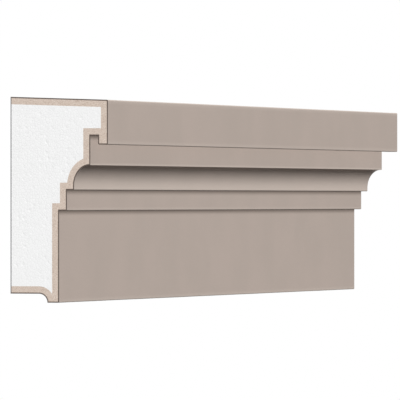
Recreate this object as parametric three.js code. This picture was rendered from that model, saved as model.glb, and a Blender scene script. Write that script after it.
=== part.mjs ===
// A length of facade cornice moulding: a rigid foam core inside a hard mineral shell.
//
// The profile is drawn once, as the section seen at a sawn end, and run along the wall. From the top
// it has a tall fascia with a drip nose, a square drip groove, a second fascia, a cove, a band, a
// tall plain frieze and a foot that hangs below the underside with a quarter-round hollow behind it.
// The shell follows all of that at one thickness and leaves the back bare.
// Its outer arrises are slightly rounded, as a casting's are.
//
// Millimetres. X runs along the wall, the back lies in the plane Y = 0 with the front towards -Y,
// and Z is up. The origin is the middle of the back, where the moulding is bonded to the wall.

import * as THREE from 'three';

// Length of the run, sawn square at both ends
const LENGTH = 1500;

// Foot: what hangs below the underside, at the very front of the frieze
const FOOT_WIDTH = 18;
const FOOT_DROP = 13; // also the radius of the hollow behind the foot

// Frieze: the tall plain face, from the foot's tip up to the band
const FRIEZE_HEIGHT = 134;
const FRIEZE_PROJECTION = 75;

// Band: the small flat member above the frieze
const BAND_HEIGHT = 30;
const BAND_STEP = 12;

// Cove: a short upright, then a hollow quarter ellipse that ends under a narrow flat lip
const COVE_STEP = 11;
const COVE_UPRIGHT = 6;
const COVE_RISE = 30;
const COVE_RUN = 23.5;
const COVE_LIP = 1.5;

// Second fascia: the part of it that shows below the nose
const SECOND_FASCIA_HEIGHT = 30;

// Drip groove behind the nose
const GROOVE_WIDTH = 12;
const GROOVE_DEPTH = 13;

// Top fascia with its nose, and the fall that sheds water off the top
const TOP_FASCIA_HEIGHT = 65;
const NOSE_WIDTH = 15;
const TOP_FALL = 5;

// Shell thickness, and the clearance of its inner face to the core
const SHELL = 10.5;
const BOND_GAP = 0.3;

// Radius to which the cast shell's outer arrises are eased
const ARRIS_RADIUS = 1.6;

// Facets in each quarter turn
const COVE_FACETS = 20;
const HOLLOW_FACETS = 12;
const ARRIS_FACETS = 4;

// Projections from the wall
const hollowCentre = FRIEZE_PROJECTION - FOOT_WIDTH - FOOT_DROP;
const bandProjection = FRIEZE_PROJECTION + BAND_STEP;
const coveFootProjection = bandProjection + COVE_STEP;
const coveTopProjection = coveFootProjection + COVE_RUN;
const fasciaProjection = coveTopProjection + COVE_LIP;
const grooveFrontProjection = fasciaProjection + GROOVE_WIDTH;
const noseProjection = grooveFrontProjection + NOSE_WIDTH;

// Heights above the foot's tip
const bandTop = FRIEZE_HEIGHT + BAND_HEIGHT;
const coveSpring = bandTop + COVE_UPRIGHT;
const coveTop = coveSpring + COVE_RISE;
const noseTip = coveTop + SECOND_FASCIA_HEIGHT;
const grooveTop = noseTip + GROOVE_DEPTH;
const topFront = noseTip + TOP_FASCIA_HEIGHT;
const topBack = topFront + TOP_FALL;
const wallFaceMiddle = (FOOT_DROP + topBack) / 2;

// A point of the cove, moved into the moulding by inset at right angles to the curve.
// turn goes from 0, at the cove's spring, to a quarter turn, at its lip.
function covePoint(turn, inset) {
  const normal = new THREE.Vector2(-COVE_RISE * Math.cos(turn), COVE_RUN * Math.sin(turn)).normalize();
  return new THREE.Vector2(
    coveTopProjection - COVE_RUN * Math.cos(turn) + inset * normal.x,
    coveSpring + COVE_RISE * Math.sin(turn) + inset * normal.y,
  );
}

// The turn at which the inset cove first passes a limit, by halving the quarter turn.
function coveTurnWhere(passes, inset) {
  let before = 0;
  let after = Math.PI / 2;
  for (let halving = 0; halving < 40; halving += 1) {
    const middle = (before + after) / 2;
    if (passes(covePoint(middle, inset))) {
      after = middle;
    } else {
      before = middle;
    }
  }
  return after;
}

// The cove from where its inset rises past the step under it to where it meets the second fascia.
function coveCurve(inset) {
  const step = bandTop + inset;
  const first = coveSpring < step ? coveTurnWhere((point) => point.y > step, inset) : 0;
  const last = inset > COVE_LIP
    ? coveTurnWhere((point) => point.x > fasciaProjection - inset, inset)
    : Math.PI / 2;
  const points = [];
  for (let facet = 0; facet <= COVE_FACETS; facet += 1) {
    points.push(covePoint(THREE.MathUtils.lerp(first, last, facet / COVE_FACETS), inset));
  }
  return points;
}

// The hollow behind the foot, from the underside down to the foot's tip. The inset hollow stops where
// it meets the inset of the foot's tip or of the frieze, whichever comes first.
function hollowCurve(inset) {
  const radius = FOOT_DROP + inset;
  const face = FRIEZE_PROJECTION - inset;
  const reach = THREE.MathUtils.clamp((face - hollowCentre) / radius, -1, 1);
  const last = inset > 0 ? Math.max(Math.asin(inset / radius), Math.acos(reach)) : 0;
  const points = [];
  for (let facet = 0; facet <= HOLLOW_FACETS; facet += 1) {
    const angle = THREE.MathUtils.lerp(Math.PI / 2, last, facet / HOLLOW_FACETS);
    points.push(new THREE.Vector2(hollowCentre + radius * Math.cos(angle), radius * Math.sin(angle)));
  }
  return points;
}

// The top's height at a projection from the wall, moved down by inset at right angles to its fall.
function topHeight(projection, inset) {
  const slant = Math.hypot(TOP_FALL, noseProjection) / noseProjection;
  return topBack - (TOP_FALL * projection) / noseProjection - inset * slant;
}

// The profile from the underside at the wall, round the foot and up the front, to the top at the
// wall. With an inset it is the face that lies so far inside the moulding: there the nose and the
// groove are gone, since the shell fills them.
function profile(inset) {
  const hollow = hollowCurve(inset);
  const tip = hollow.at(-1);
  const cove = coveCurve(inset);
  const lip = cove.at(-1);
  const points = [new THREE.Vector2(0, FOOT_DROP + inset), ...hollow];
  const corner = (projection, height) => points.push(new THREE.Vector2(projection, height));

  corner(FRIEZE_PROJECTION - inset, tip.y);
  corner(FRIEZE_PROJECTION - inset, FRIEZE_HEIGHT + inset);
  corner(bandProjection - inset, FRIEZE_HEIGHT + inset);
  corner(bandProjection - inset, bandTop + inset);
  corner(coveFootProjection - inset, bandTop + inset);
  points.push(...cove);
  corner(fasciaProjection - inset, lip.y);
  corner(fasciaProjection - inset, grooveTop + inset);
  if (inset === 0) {
    corner(grooveFrontProjection, grooveTop);
    corner(grooveFrontProjection, noseTip);
    corner(noseProjection, noseTip);
  } else {
    corner(noseProjection - inset, grooveTop + inset);
  }
  corner(noseProjection - inset, topHeight(noseProjection - inset, inset));
  corner(0, topHeight(0, inset));
  return points;
}

// The profile with its outer arrises rounded. Inner corners and the facets of curves stay as they are,
// so an arris is an outward turn of over half a radian. A face shorter than two radii gives half of
// its length to each of its arrises.
function eased(points) {
  const sharpTurn = 0.5;
  return points.flatMap((point, i) => {
    const before = points[i - 1];
    const after = points[i + 1];
    if (!before || !after) return [point];
    const inward = before.clone().sub(point);
    const onward = after.clone().sub(point);
    const turn = Math.atan2(onward.cross(inward), -onward.dot(inward));
    if (turn < sharpTurn) return [point];
    const reach = Math.min(ARRIS_RADIUS, inward.length() / 2, onward.length() / 2);
    const start = point.clone().addScaledVector(inward.normalize(), reach);
    const end = point.clone().addScaledVector(onward.normalize(), reach);
    return new THREE.QuadraticBezierCurve(start, point, end).getPoints(ARRIS_FACETS);
  });
}

// A closed outline run along the wall. Points that fall on the one before them are dropped.
function run(outline) {
  const shortest = 0.01;
  const kept = outline.filter((point, i) => point.distanceTo(outline.at(i - 1)) > shortest);
  return new THREE.ExtrudeGeometry(new THREE.Shape(kept), { depth: LENGTH, bevelEnabled: false });
}

function foamCore() {
  const foam = new THREE.MeshStandardMaterial({ color: 0xf1f1f1, roughness: 0.9, metalness: 0 });
  const core = new THREE.Mesh(run(profile(SHELL + BOND_GAP)), foam);
  core.name = 'foam_core';
  return core;
}

function mineralShell() {
  const finish = new THREE.MeshStandardMaterial({ color: 0xb0a39a, roughness: 0.85, metalness: 0 });
  const outline = [...eased(profile(0)), ...profile(SHELL).reverse()];
  const shell = new THREE.Mesh(run(outline), finish);
  shell.name = 'mineral_shell';
  return shell;
}

// The section's first axis turns towards the front and its second stays up, so the run goes to -X.
const moulding = new THREE.Group();
moulding.add(foamCore(), mineralShell());
moulding.rotation.set(0, -Math.PI / 2, -Math.PI / 2);
moulding.position.set(LENGTH / 2, 0, -wallFaceMiddle);

const part = new THREE.Group();
part.add(moulding);
export default part;
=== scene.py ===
import bpy
import numpy as np
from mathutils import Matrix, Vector
from mathutils.geometry import delaunay_2d_cdt


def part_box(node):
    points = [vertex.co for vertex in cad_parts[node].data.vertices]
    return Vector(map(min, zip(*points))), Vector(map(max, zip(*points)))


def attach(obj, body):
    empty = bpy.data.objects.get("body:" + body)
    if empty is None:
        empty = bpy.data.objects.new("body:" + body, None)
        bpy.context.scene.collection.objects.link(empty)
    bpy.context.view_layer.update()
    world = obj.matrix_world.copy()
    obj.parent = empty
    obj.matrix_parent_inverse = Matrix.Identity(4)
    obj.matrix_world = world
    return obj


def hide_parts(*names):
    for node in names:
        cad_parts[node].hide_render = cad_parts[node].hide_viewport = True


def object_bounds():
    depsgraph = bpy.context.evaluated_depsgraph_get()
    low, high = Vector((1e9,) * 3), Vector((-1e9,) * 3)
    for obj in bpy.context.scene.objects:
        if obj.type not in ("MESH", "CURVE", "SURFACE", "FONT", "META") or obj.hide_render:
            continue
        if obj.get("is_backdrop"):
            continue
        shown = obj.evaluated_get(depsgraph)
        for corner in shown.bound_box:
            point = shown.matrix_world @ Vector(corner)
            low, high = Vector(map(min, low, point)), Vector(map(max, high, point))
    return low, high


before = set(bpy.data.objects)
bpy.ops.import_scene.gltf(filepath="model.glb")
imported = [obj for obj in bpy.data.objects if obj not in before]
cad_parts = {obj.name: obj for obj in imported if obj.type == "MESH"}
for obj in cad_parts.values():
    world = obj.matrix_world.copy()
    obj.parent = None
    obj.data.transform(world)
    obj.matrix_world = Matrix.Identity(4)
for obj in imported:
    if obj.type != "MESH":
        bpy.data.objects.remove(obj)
cad_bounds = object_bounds()

# The foam core is one block of white bead foam, cut lengthways by a hot wire to the moulding's form
# less the shell. It is sawn off together with the shell, and its back stays bare for the wall.

# Members of the moulding's section, as sizes out from the wall and upwards
foot_width, foot_drop = 0.018, 0.013
frieze_projection, frieze_height = 0.075, 0.134
band_step, band_height = 0.012, 0.030
cove_step, cove_upright = 0.011, 0.006
cove_run, cove_rise, cove_lip = 0.0235, 0.030, 0.0015
second_fascia_height = 0.030
groove_depth = 0.013
nose_width, top_fall = 0.015, 0.005

# Places in the section, as projections from the wall and heights above the foot's tip
shell_low, shell_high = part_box("mineral_shell")
core_low, core_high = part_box("foam_core")
run_start, run_end = shell_low.x, shell_high.x
foot_tip = shell_low.z
nose_projection, top_back = -shell_low.y, shell_high.z - shell_low.z
shell_thickness = core_low.y - shell_low.y
hollow_centre = frieze_projection - foot_width - foot_drop
band_projection = frieze_projection + band_step
cove_foot_projection = band_projection + cove_step
cove_top_projection = cove_foot_projection + cove_run
fascia_projection = cove_top_projection + cove_lip
groove_front_projection = nose_projection - nose_width
band_top = frieze_height + band_height
cove_spring = band_top + cove_upright
nose_tip = cove_spring + cove_rise + second_fascia_height
groove_top = nose_tip + groove_depth


def without_repeats(points):
    """The polyline without the points that lie where the point before them does."""
    gaps = np.linalg.norm(np.diff(points, axis=0), axis=1)
    return points[np.append(True, gaps > 1e-7)]


def cove_curve(inset, facets=32):
    """The cove's quarter ellipse, moved into the moulding by inset along its normal: the centre plus
    (-run cos t, rise sin t) plus inset times the unit vector of (-rise cos t, run sin t), from where
    it rises past the step under it to where it meets the second fascia."""
    turn = np.linspace(0, np.pi / 2, 721)
    across, up = np.cos(turn), np.sin(turn)
    normal = np.column_stack([-cove_rise * across, cove_run * up])
    normal /= np.linalg.norm(normal, axis=1)[:, None]
    path = np.column_stack([cove_top_projection - cove_run * across, cove_spring + cove_rise * up])
    path += inset * normal
    first = np.interp(band_top + inset, path[:, 1], turn)
    last = np.interp(fascia_projection - inset, path[:, 0], turn)
    wanted = np.linspace(first, last, facets + 1)
    return np.column_stack([np.interp(wanted, turn, path[:, axis]) for axis in (0, 1)])


def hollow_curve(inset, facets=20):
    """The hollow behind the foot: a circle of the foot's drop plus inset about a point at the foot's
    tip, from its crown down to where it meets the inset of the tip or of the frieze."""
    radius = foot_drop + inset
    reach = (frieze_projection - inset - hollow_centre) / radius
    last = max(np.arcsin(inset / radius), np.arccos(min(1.0, reach)))
    angle = np.linspace(np.pi / 2, last, facets + 1)
    return np.column_stack([hollow_centre + radius * np.cos(angle), radius * np.sin(angle)])


def section(inset):
    """The moulding's profile at an inset, as (projection, height) points from the underside at the
    wall, round the foot and up the front, to the top at the wall. An inset profile has no groove."""
    hollow, cove = hollow_curve(inset), cove_curve(inset)
    slant = np.hypot(top_fall, nose_projection) / nose_projection
    top_front = top_back - top_fall * (nose_projection - inset) / nose_projection
    groove = [
        (groove_front_projection, groove_top),
        (groove_front_projection, nose_tip),
        (nose_projection, nose_tip),
    ]
    points = np.vstack([
        (0, foot_drop + inset),
        hollow,
        (frieze_projection - inset, hollow[-1, 1]),
        (frieze_projection - inset, frieze_height + inset),
        (band_projection - inset, frieze_height + inset),
        (band_projection - inset, band_top + inset),
        (cove_foot_projection - inset, band_top + inset),
        cove,
        (fascia_projection - inset, cove[-1, 1]),
        (fascia_projection - inset, groove_top + inset),
        groove if inset == 0 else [(nose_projection - inset, groove_top + inset)],
        (nose_projection - inset, top_front - inset * slant),
        (0, top_back - inset * slant),
    ])
    return without_repeats(points)


def girth_of(points):
    """The length along a polyline at each of its points."""
    return np.append(0, np.cumsum(np.linalg.norm(np.diff(points, axis=0), axis=1)))


def spaced(points, spacing):
    """The polyline with points added wherever its length passes a multiple of spacing, unless it has
    a point within four tenths of the spacing of there."""
    girth = girth_of(points)
    added = np.arange(spacing, girth[-1], spacing)
    clear = np.abs(added[:, None] - girth).min(axis=1) > 0.4 * spacing
    places = np.sort(np.append(girth, added[clear]))
    return np.column_stack([np.interp(places, girth, points[:, axis]) for axis in (0, 1)])


def placed(run, points):
    """Points of the section as (x, y, z): the place in the run, less the projection, and the height
    put at the foot's tip. The run may differ from point to point or from row to row."""
    run = np.broadcast_to(run, points.shape[:-1])
    return np.stack([run, -points[..., 0], points[..., 1] + foot_tip], axis=-1)


def grid_faces(rows, columns):
    """The quads of a grid whose vertices are numbered row by row, facing the way of the cross product
    of the rows' direction and the columns' direction."""
    corner = np.arange(rows - 1)[:, None] * columns + np.arange(columns - 1)
    quads = np.stack([corner, corner + columns, corner + columns + 1, corner + 1], axis=-1)
    return quads.reshape(-1, 4)


chance = np.random.default_rng(7)


def scattered(loop, pitch):
    """Points over the box round a loop: a grid at the pitch, each moved at random by up to three
    tenths of it."""
    spans = zip(loop.min(axis=0), loop.max(axis=0))
    grid = np.stack(np.meshgrid(*(np.arange(low, high, pitch) for low, high in spans)), axis=-1)
    grid = grid.reshape(-1, 2)
    return grid + chance.uniform(-0.3, 0.3, grid.shape) * pitch


def pit_depths(points, centres, radius, depth):
    """How deep each point lies in shallow round pits: over a random part of the radius, a pit falls by
    a parabola to the square of that part of the depth, which keeps most pits small."""
    part = chance.uniform(0.35, 1, len(centres))
    away = np.linalg.norm(points[:, None] - centres, axis=2) / (radius * part)
    return (depth * part**2 * np.clip(1 - away**2, 0, 1)).max(axis=1)


def sawn_face(loop, spacing, pitch, radius, depth):
    """Points and triangles over the inside of a closed loop, and the depth of each point in pits of
    the given pitch, radius and depth. The points inside are scattered at the spacing, and kept where
    a level ray crosses the loop an odd number of times and the loop is over a third of the spacing
    away. The pits fade out within a millimetre of the loop. Delaunay's rule joins the points."""
    inner = scattered(loop, spacing)
    edge = np.roll(loop, -1, axis=0) - loop
    offset = inner[:, None] - loop
    crossing = (offset[:, :, 1] < 0) != (offset[:, :, 1] < edge[:, 1])
    slope = edge[:, 0] / np.where(edge[:, 1] == 0, 1.0, edge[:, 1])
    inside = (crossing & (offset[:, :, 0] < offset[:, :, 1] * slope)).sum(axis=1) % 2 == 1
    share = np.clip((offset * edge).sum(axis=2) / (edge**2).sum(axis=1), 0, 1)
    away = np.linalg.norm(offset - share[:, :, None] * edge, axis=2).min(axis=1)
    kept = inside & (away > spacing / 3)
    inner, away = inner[kept], away[kept]
    fade = np.clip(away / 0.001, 0, 1)
    depths = pit_depths(inner, scattered(loop, pitch), radius, depth) * fade
    points = np.vstack([loop, inner])
    outline = list(range(len(loop)))
    joined = delaunay_2d_cdt([Vector(point) for point in points], [], [outline], 1, 1e-7)
    first = np.array([numbers[0] for numbers in joined[3]])
    return points, first[np.array(joined[2])], np.append(np.zeros(len(loop)), depths)


def sawn_ends(loop, spacing, pits):
    """The faces that the saw leaves over a closed loop at the start and at the far end of the run,
    each as its vertices and its triangles, with the pits going into the piece."""
    for end, inwards in ((run_start, 1), (run_end, -1)):
        points, triangles, depths = sawn_face(loop, spacing, **pits)
        yield placed(end + inwards * depths, points), triangles[:, ::inwards]


def closed_piece(name, parts, finishes):
    """A mesh object from (vertices, faces, finish number) parts, with vertices that coincide made one
    and smooth shading wherever faces meet at less than 30 degrees."""
    together = np.vstack([vertices for vertices, faces, finish in parts])
    kept, number = np.unique(np.round(together, 7), axis=0, return_inverse=True)
    number = number.ravel()
    start, all_faces, slots = 0, [], []
    for vertices, faces, finish in parts:
        all_faces += number[faces + start].tolist()
        slots.append(np.broadcast_to(finish, len(faces)))
        start += len(vertices)
    mesh = bpy.data.meshes.new(name)
    mesh.from_pydata(kept.tolist(), [], all_faces)
    mesh.polygons.foreach_set("material_index", np.concatenate(slots).astype(np.int32))
    mesh.shade_smooth()
    mesh.set_sharp_from_angle(angle=np.radians(30))
    for finish in finishes:
        mesh.materials.append(finish)
    piece = bpy.data.objects.new(name, mesh)
    bpy.context.scene.collection.objects.link(piece)
    return piece


class Signal:
    """A shader socket in arithmetic. Each operator adds the Math node that it stands for."""

    def __init__(self, tree, socket=None):
        self.tree = tree
        self.socket = socket

    def node(self, kind, settings=None, sockets=None, output=None):
        """Adds a node of a kind and makes its settings, then gives its enabled sockets, by name or by
        number, their values or links. Returns the named output, or else the first enabled one."""
        made = self.tree.nodes.new("ShaderNode" + kind)
        for name, value in (settings or {}).items():
            setattr(made, name, value)
        usable = [socket for socket in made.inputs if socket.enabled]
        for key, value in (sockets or {}).items():
            socket = usable[key] if isinstance(key, int) else next(s for s in usable if s.name == key)
            if isinstance(value, Signal):
                self.tree.links.new(value.socket, socket)
            else:
                socket.default_value = value
        outputs = [socket for socket in made.outputs if socket.enabled]
        return Signal(self.tree, next(s for s in outputs if output in (None, s.name)))

    def math(self, operation, *others):
        return self.node("Math", {"operation": operation}, dict(enumerate((self, *others))))

    def __add__(self, other):
        return self.math("ADD", other)

    def __sub__(self, other):
        return self.math("SUBTRACT", other)

    def __rsub__(self, other):
        return self.math("MULTIPLY_ADD", -1.0, other)

    def __mul__(self, other):
        return self.math("MULTIPLY", other)

    def __gt__(self, other):
        return self.math("GREATER_THAN", other)

    def __abs__(self):
        return self.math("ABSOLUTE")

    __radd__ = __add__
    __rmul__ = __mul__

    def part(self, axis):
        """One coordinate of a vector."""
        return self.node("SeparateXYZ", sockets={"Vector": self}, output=axis)

    def layer(self, name):
        """The number that the piece's mesh holds under a name."""
        return self.node("Attribute", {"attribute_name": name}, output="Fac")

    def step(self, low, high):
        """A smooth step from nought where this is low to one where it is high."""
        values = {"Value": self, "From Min": low, "From Max": high}
        return self.node("MapRange", {"interpolation_type": "SMOOTHSTEP"}, values)

    def between(self, first, second):
        """The colour this far of the way from the first colour to the second."""
        return self.node("Mix", {"data_type": "RGBA"}, {"Factor": self, "A": first, "B": second})

    def clouds(self, size, detail=2.0):
        """Soft noise about a half at the place that this is, in lumps of a size."""
        return self.node("TexNoise", sockets={"Vector": self, "Scale": 1 / size, "Detail": detail})

    def cells(self, size, feature="F1", output="Distance"):
        """Voronoi cells of a size at the place that this is."""
        sockets = {"Vector": self, "Scale": 1 / size}
        return self.node("TexVoronoi", {"feature": feature}, sockets, output)

    def cell_tone(self, size):
        """A random number for each of the Voronoi cells of a size."""
        return self.node("SeparateColor", sockets={"Color": self.cells(size, output="Color")})


def colour_of(red, green, blue):
    """The linear colour, with alpha, of an 8-bit sRGB one, by the standard's two-part curve."""
    value = np.array([red, green, blue]) / 255
    linear = np.where(value <= 0.04045, value / 12.92, ((value + 0.055) / 1.055) ** 2.4)
    return (*linear.tolist(), 1.0)


def new_finish(name):
    """An empty material and the signal of its object coordinates."""
    material = bpy.data.materials.new(name)
    material.use_nodes = True
    return material, Signal(material.node_tree).node("TexCoord", output="Object")


def finished(material, colour, roughness, height, relief):
    """The material with signals for its colour and roughness, and with a bump from the signal of its
    surface's height times the relief in metres."""
    shader = material.node_tree.nodes["Principled BSDF"]
    bump = height.node("Bump", sockets={"Height": height, "Distance": relief})
    for name, signal in (("Base Color", colour), ("Roughness", roughness), ("Normal", bump)):
        material.node_tree.links.new(signal.socket, shader.inputs[name])
    shader.inputs["Specular IOR Level"].default_value = 0.2
    return material


saw_pitch, saw_centre = 0.0034, (0.0, -0.30, -0.45)
back_line_width, back_line_reach, back_line_grey = 0.0014, 0.002, colour_of(118, 118, 120)


def saw_marks(place):
    """The arcs that the blade leaves on a sawn end: a sine of the distance from its axle."""
    level = place.node("VectorMath", {"operation": "MULTIPLY"}, {0: place, 1: (0.0, 1.0, 1.0)})
    reach = place.node("VectorMath", {"operation": "DISTANCE"}, {0: level, 1: saw_centre})
    return (reach * (2 * np.pi / saw_pitch)).math("SINE")


def back_line(place):
    """One within the line's width of the back and its reach of a sawn end, and nought elsewhere."""
    end = abs(place.part("X")) > run_end - back_line_reach
    return end * (place.part("Y") > -back_line_width)


bead_size, seam_width = 0.0042, 0.10
bead_white, bead_grey = colour_of(247, 247, 247), colour_of(244, 244, 244)
seam_grey = colour_of(236, 236, 236)


def bead_foam():
    """Beads of two whites with greyer seams where they meet, and a thin grey line along the back."""
    material, place = new_finish("bead foam")
    seam = 1 - place.cells(bead_size, "DISTANCE_TO_EDGE").step(0.0, seam_width)
    beads = place.cell_tone(bead_size).between(bead_white, bead_grey)
    seamed = (seam * 0.4).between(beads, seam_grey)
    colour = back_line(place).between(seamed, back_line_grey)
    roughness = place.clouds(0.02) * 0.2 + 0.72
    height = place.clouds(0.001) * 0.4 - seam + saw_marks(place) * 0.1
    return finished(material, colour, roughness, height, 0.00007)


torn_beads = {"pitch": 0.011, "radius": 0.0022, "depth": 0.0003}
sawn_spacing, side_spacing, back_spacing = 0.0015, 0.02, 0.005
foam_stations = np.linspace(run_start, run_end, 121)
bond_line = section(shell_thickness)
foam_sides = spaced(bond_line, side_spacing)
foam_back = spaced(np.array([bond_line[-1], bond_line[0]]), back_spacing)
foam_loop = np.vstack([foam_sides, foam_back[1:]])

# The wire's tremble leaves ripples along the back. They drift by one pitch over a length of the run,
# sway by a fifth of a pitch on the way, and fade out towards the ends of the run.
ripple_depth, ripple_pitch, ripple_drift, ripple_fade = 0.0002, 0.021, 1.7, 0.02
ripple_sway, sway_rate = 0.2, 9
foam_run, foam_height = np.meshgrid(foam_stations, foam_loop[:, 1], indexing="ij")
ripple_turn = foam_height / ripple_pitch + foam_run / ripple_drift
ripple_turn += ripple_sway * np.sin(sway_rate * foam_run)
ripple = ripple_depth * (1 - np.cos(2 * np.pi * ripple_turn)) / 2
ripple *= np.clip((run_end - np.abs(foam_run)) / ripple_fade, 0, 1)
ripple[:, : len(foam_sides)] = 0
ripple[:, -1] = 0
rippled = np.stack([foam_loop[:, 0] + ripple, foam_height], axis=-1)

foam_parts = [(placed(foam_run, rippled).reshape(-1, 3), grid_faces(*foam_run.shape), 0)]
foam_parts += [(*end, 0) for end in sawn_ends(foam_loop[:-1], sawn_spacing, torn_beads)]
foam_block = closed_piece("foam_block", foam_parts, [bead_foam()])
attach(foam_block, "root")
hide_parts("foam_core")

# The shell is a cement-bound mineral mortar, cast about 10 mm thick round the foam in a mould and
# solid in the nose and the foot. It is spray-coated outside in a matte taupe finish, then sawn.
corner_turn = 0.5
arris_radius, crease_radius = 0.0016, 0.0008
coat_edge_width = 0.0017
air_bubbles = {"pitch": 0.008, "radius": 0.0014, "depth": 0.0004}


def turns(points):
    """The angle by which a polyline turns to its left at each point between its ends."""
    edge = np.diff(points, axis=0)
    before, after = edge[:-1], edge[1:]
    cross = before[:, 0] * after[:, 1] - before[:, 1] * after[:, 0]
    return np.arctan2(cross, (before * after).sum(axis=1))


def eased(points, facets=4):
    """The polyline with its corners rounded. A turn of over half a radian gives way to the quadratic
    Bezier curve (1-t)^2 start + 2t(1-t) corner + t^2 end, which starts and ends a radius away, or
    four tenths of the way along an edge where that is less. A point a fifth of the radius before
    and after each curve keeps the face beside it flat."""
    turn = turns(points)
    edge = np.diff(points, axis=0)
    length = np.linalg.norm(edge, axis=1)
    way = edge / length[:, None]
    radius = np.where(turn > corner_turn, arris_radius, 0)
    radius = np.where(turn < -corner_turn, crease_radius, radius)
    reach = np.minimum(radius, 0.4 * np.minimum(length[:-1], length[1:]))
    corner = points[1:-1]
    start, end = corner - way[:-1] * reach[:, None], corner + way[1:] * reach[:, None]
    t = np.linspace(0, 1, facets + 1)[:, None, None]
    curve = (1 - t) ** 2 * start + 2 * t * (1 - t) * corner + t**2 * end
    held = [corner + 1.2 * (start - corner)], curve, [corner + 1.2 * (end - corner)]
    rounded = np.concatenate(held).transpose(1, 0, 2).reshape(-1, 2)
    return without_repeats(np.vstack([points[:1], rounded, points[-1:]]))


def moved_in(points, distance):
    """The polyline with every edge moved to its left: each point goes by the distance times the sum
    of the left normals of its two edges, over one plus their dot product."""
    edge = np.diff(points, axis=0)
    left = np.column_stack([-edge[:, 1], edge[:, 0]]) / np.linalg.norm(edge, axis=1)[:, None]
    before, after = np.vstack([left[:1], left]), np.vstack([left, left[-1:]])
    return points + distance * (before + after) / (1 + (before * after).sum(axis=1))[:, None]


def nearness(places, corners, reach):
    """One at the given corners, falling evenly to nought at the reach from them, for each place."""
    away = np.min([np.linalg.norm(places - corner, axis=1) for corner in corners], axis=0)
    return np.clip(1 - away / reach, 0, 1)


coat_light, coat_dark = colour_of(182, 168, 159), colour_of(178, 165, 156)
# The pale colour of the painted highlights, and of the coat worn thin on the arrises
coat_grain, pale_wear_and_highlight = colour_of(170, 157, 148), colour_of(206, 194, 184)
# Painted shade: the colour that the inner corners darken towards
crease_shade_colour = colour_of(96, 85, 77)
primer_light, primer_dark = colour_of(107, 95, 88), colour_of(93, 82, 76)
mortar, mortar_shade = colour_of(212, 195, 182), colour_of(205, 188, 174)
pale_sand, dark_sand = colour_of(222, 209, 197), colour_of(184, 166, 151)
sand_size = 0.0011


def finish_coat():
    """Matte taupe coat: soft clouds of tone and a sandy grain, paler on the arrises, partly worn thin
    there and partly a painted highlight. A painted highlight rises from the foot of the cove, and
    painted shade darkens the inner corners."""
    material, place = new_finish("finish coat")
    grain = place.clouds(0.0007, 3.0)
    clouded = place.clouds(0.11, 3.0).step(0.3, 0.7).between(coat_light, coat_dark)
    sandy = (grain.step(0.25, 0.75) * 0.25).between(clouded, coat_grain)
    # Painted highlight: paler up from the foot of the cove
    cove_highlit = (place.layer("cove_foot_highlight").step(0.0, 0.7) * 0.36).between(sandy, pale_wear_and_highlight)
    # Paler arrises: partly the coat worn thin, partly a painted highlight
    worn_and_highlit = (place.layer("arris") * 0.7).between(cove_highlit, pale_wear_and_highlight)
    # Painted shade: darker towards the inner corners
    colour = (place.layer("crease_shade").step(0.0, 1.0) * 0.75).between(worn_and_highlit, crease_shade_colour)
    roughness = place.clouds(0.03) * 0.14 + 0.78
    height = grain + place.clouds(0.005) * 0.8
    return finished(material, colour, roughness, height, 0.00018)


def coat_edge():
    """The coat and its darker primer, seen edge on where the saw has cut them."""
    material, place = new_finish("coat edge")
    colour = place.clouds(0.004).between(primer_dark, primer_light)
    return finished(material, colour, place.clouds(0.01) * 0.1 + 0.8, place.clouds(0.0006), 0.0001)


def sawn_mortar():
    """Beige mortar with pale and dark grains of sand in it, and the saw's marks across it."""
    material, place = new_finish("sawn mortar")
    tone = place.cell_tone(sand_size)
    pale = tone.step(0.75, 0.95).between(mortar, pale_sand)
    grained = ((1 - tone.step(0.06, 0.2)) * 0.6).between(pale, dark_sand)
    clouded = (place.clouds(0.02, 3.0).step(0.35, 0.75) * 0.35).between(grained, mortar_shade)
    colour = back_line(place).between(clouded, back_line_grey)
    roughness = place.clouds(0.006) * 0.12 + 0.8
    height = place.cells(sand_size) + place.clouds(0.0008) * 0.6 + saw_marks(place) * 0.25
    return finished(material, colour, roughness, height, 0.00015)


# Outlines on a sawn end: the outside, the line between coat and mortar, and the bond with the foam
outside_spacing, ring_spacing = 0.004, 0.01
outside = spaced(eased(section(0)), outside_spacing)
coat_line = moved_in(section(0), coat_edge_width)
coat_line[[0, -1], 0] = 0
shell_loop = np.vstack([outside, coat_line[-1], bond_line[::-1], coat_line[0], outside[0]])
ring_loop = np.vstack([outside, coat_line[::-1]])
mortar_loop = np.vstack([coat_line, bond_line[::-1]])

# The mould's faces aren't dead flat: they lie up to 0.12 mm low in two trains of long waves, each with
# a length along the run and one round the section, which fade out at the saw cuts and at the wall
wave_depth, wave_lengths = 0.00012, ((0.43, 0.27), (0.19, -0.35))
end_fade, wall_fade = 0.05, 0.03
shell_stations = np.linspace(run_start, run_end, 151)
shell_girth = girth_of(outside)
shell_run, around = np.meshgrid(shell_stations, shell_girth, indexing="ij")
turned = [shell_run / lengthways + around / crossways for lengthways, crossways in wave_lengths]
waves = np.sin(2 * np.pi * np.array(turned)).sum(axis=0)
from_end = (run_end - np.abs(shell_run)) / end_fade
from_wall = np.minimum(around, shell_girth[-1] - around) / wall_fade
sunk = wave_depth * (2 + waves) / 4 * np.clip(np.minimum(from_end, from_wall), 0, 1)
heading = np.gradient(outside, axis=0)
heading /= np.linalg.norm(heading, axis=1)[:, None]
wavy = outside + sunk[:, :, None] * np.column_stack([-heading[:, 1], heading[:, 0]])
inside_rows = np.tile(shell_loop[len(outside):], (len(shell_stations), 1, 1))
cast = placed(shell_stations[:, None], np.concatenate([wavy, inside_rows], axis=1))
on_outside = np.arange(len(shell_loop) - 1) < len(outside) - 1
skin_finish = np.tile(np.where(on_outside, 0, 2), len(shell_stations) - 1)

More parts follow.
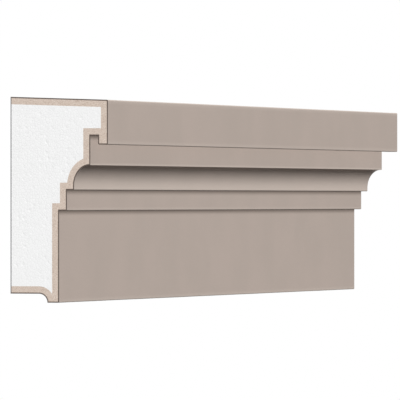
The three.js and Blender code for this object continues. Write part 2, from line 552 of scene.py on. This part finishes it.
shell_parts = [(cast.reshape(-1, 3), grid_faces(*cast.shape[:2]), skin_finish)]
shell_parts += [(*end, 1) for end in sawn_ends(ring_loop, ring_spacing, air_bubbles)]
shell_parts += [(*end, 2) for end in sawn_ends(mortar_loop, sawn_spacing, air_bubbles)]
cast_shell = closed_piece("cast_shell", shell_parts, [finish_coat(), coat_edge(), sawn_mortar()])

# The coat's numbers: how near each vertex is to an arris, an inner corner or the foot of the cove.
# They place the paler arrises, partly a painted highlight, the painted highlight up from the cove's
# foot and the painted shade in the inner corners
arris_reach, crease_shade_reach, cove_highlight_reach = 0.003, 0.008, 0.028
corner_points, corner_turns = section(0)[1:-1], turns(section(0))
arrises = corner_points[corner_turns > corner_turn]
creases = corner_points[corner_turns < -corner_turn]
# Where the painted highlight up the cove is brightest
cove_foot_highlight = [(cove_foot_projection, band_top)]
vertices = np.empty(len(cast_shell.data.vertices) * 3)
cast_shell.data.vertices.foreach_get("co", vertices)
vertices = vertices.reshape(-1, 3)
vertex_places = np.column_stack([-vertices[:, 1], vertices[:, 2] - foot_tip])
before_band = vertex_places[:, 0] > band_projection + cove_step / 2
for name, values in (
    # paler arrises, partly wear and partly a painted highlight
    ("arris", nearness(vertex_places, arrises, arris_reach)),
    # painted shade in the inner corners
    ("crease_shade", nearness(vertex_places, creases, crease_shade_reach)),
    # painted highlight up from the foot of the cove
    ("cove_foot_highlight", nearness(vertex_places, cove_foot_highlight, cove_highlight_reach) * before_band),
):
    cast_shell.data.attributes.new(name, "FLOAT", "POINT").data.foreach_set("value", values)
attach(cast_shell, "root")
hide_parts("mineral_shell")

# The studio is white all round. The moulding hangs as on its wall, two metres above a pale floor that
# lies below the camera's view. The camera stands level, far off to the left of the front.
view_heading, focal_length = np.radians(71.99), 577.3
camera_distance, camera_aside, camera_height = 10.068, 0.0444, -0.0070
ahead = Vector((np.sin(view_heading), np.cos(view_heading), 0))
aside = Vector((np.cos(view_heading), -np.sin(view_heading), 0))
lens = bpy.data.cameras.new("camera")
lens.sensor_width = 36
lens.lens = focal_length
lens.clip_end = 100
camera = bpy.data.objects.new("camera", lens)
camera.location = Vector((0, 0, camera_height)) + aside * camera_aside - ahead * camera_distance
camera.rotation_euler = (np.pi / 2, 0, -view_heading)
bpy.context.scene.collection.objects.link(camera)
bpy.context.scene.camera = camera


def soft_light(name, heading, elevation, brightness, softness, shadows=True):
    """A sun lamp that shines from a heading, in degrees from the front round to the left end, and an
    elevation, as a disc softness degrees wide, onto a face square to it with a brightness."""
    lamp = bpy.data.lights.new(name, "SUN")
    lamp.energy = brightness * np.pi
    lamp.angle = np.radians(softness)
    lamp.use_shadow = shadows
    light = bpy.data.objects.new(name, lamp)
    light.rotation_euler = (np.radians(90 - elevation), 0, np.radians(-heading))
    bpy.context.scene.collection.objects.link(light)


# The key light casts no shadows, so that it shades the cove and yet leaves the nose no shadow
soft_light("key", 45, 30, 1.42, 24, shadows=False)
soft_light("fill", 225, 10, 0.62, 60)
soft_light("under", 225, -35, 0.55, 40)
soft_light("top", 0, 90, 0.15, 30)

floor_radius, floor_height, floor_sides = 2.0, -2.0, 96
floor_turn = np.arange(floor_sides) * 2 * np.pi / floor_sides
floor_rim = floor_radius * np.column_stack([np.cos(floor_turn), np.sin(floor_turn)])
floor_mesh = bpy.data.meshes.new("floor")
floor_mesh.from_pydata([(x, y, floor_height) for x, y in floor_rim], [], [list(range(floor_sides))])
floor_paint = bpy.data.materials.new("floor paint")
floor_paint.use_nodes = True
floor_shader = floor_paint.node_tree.nodes["Principled BSDF"]
floor_shader.inputs["Base Color"].default_value = (0.9, 0.9, 0.9, 1)
floor_shader.inputs["Roughness"].default_value = 1
floor_mesh.materials.append(floor_paint)
floor = bpy.data.objects.new("floor", floor_mesh)
floor.visible_diffuse = False
bpy.context.scene.collection.objects.link(floor)
floor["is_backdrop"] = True

# The walls of the studio look white, but light the moulding only a little
world = bpy.data.worlds.new("white room")
world.use_nodes = True
seen = Signal(world.node_tree).node("LightPath", output="Is Camera Ray")
walls = seen.between((0.10, 0.10, 0.10, 1), (1, 1, 1, 1))
world.node_tree.links.new(walls.socket, world.node_tree.nodes["Background"].inputs["Color"])
bpy.context.scene.world = world
bpy.context.scene.view_settings.view_transform = "Standard"

boxes = {"cad": cad_bounds, "visual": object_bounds()}
sizes = {name: [list(corner) for corner in box] for name, box in boxes.items()}
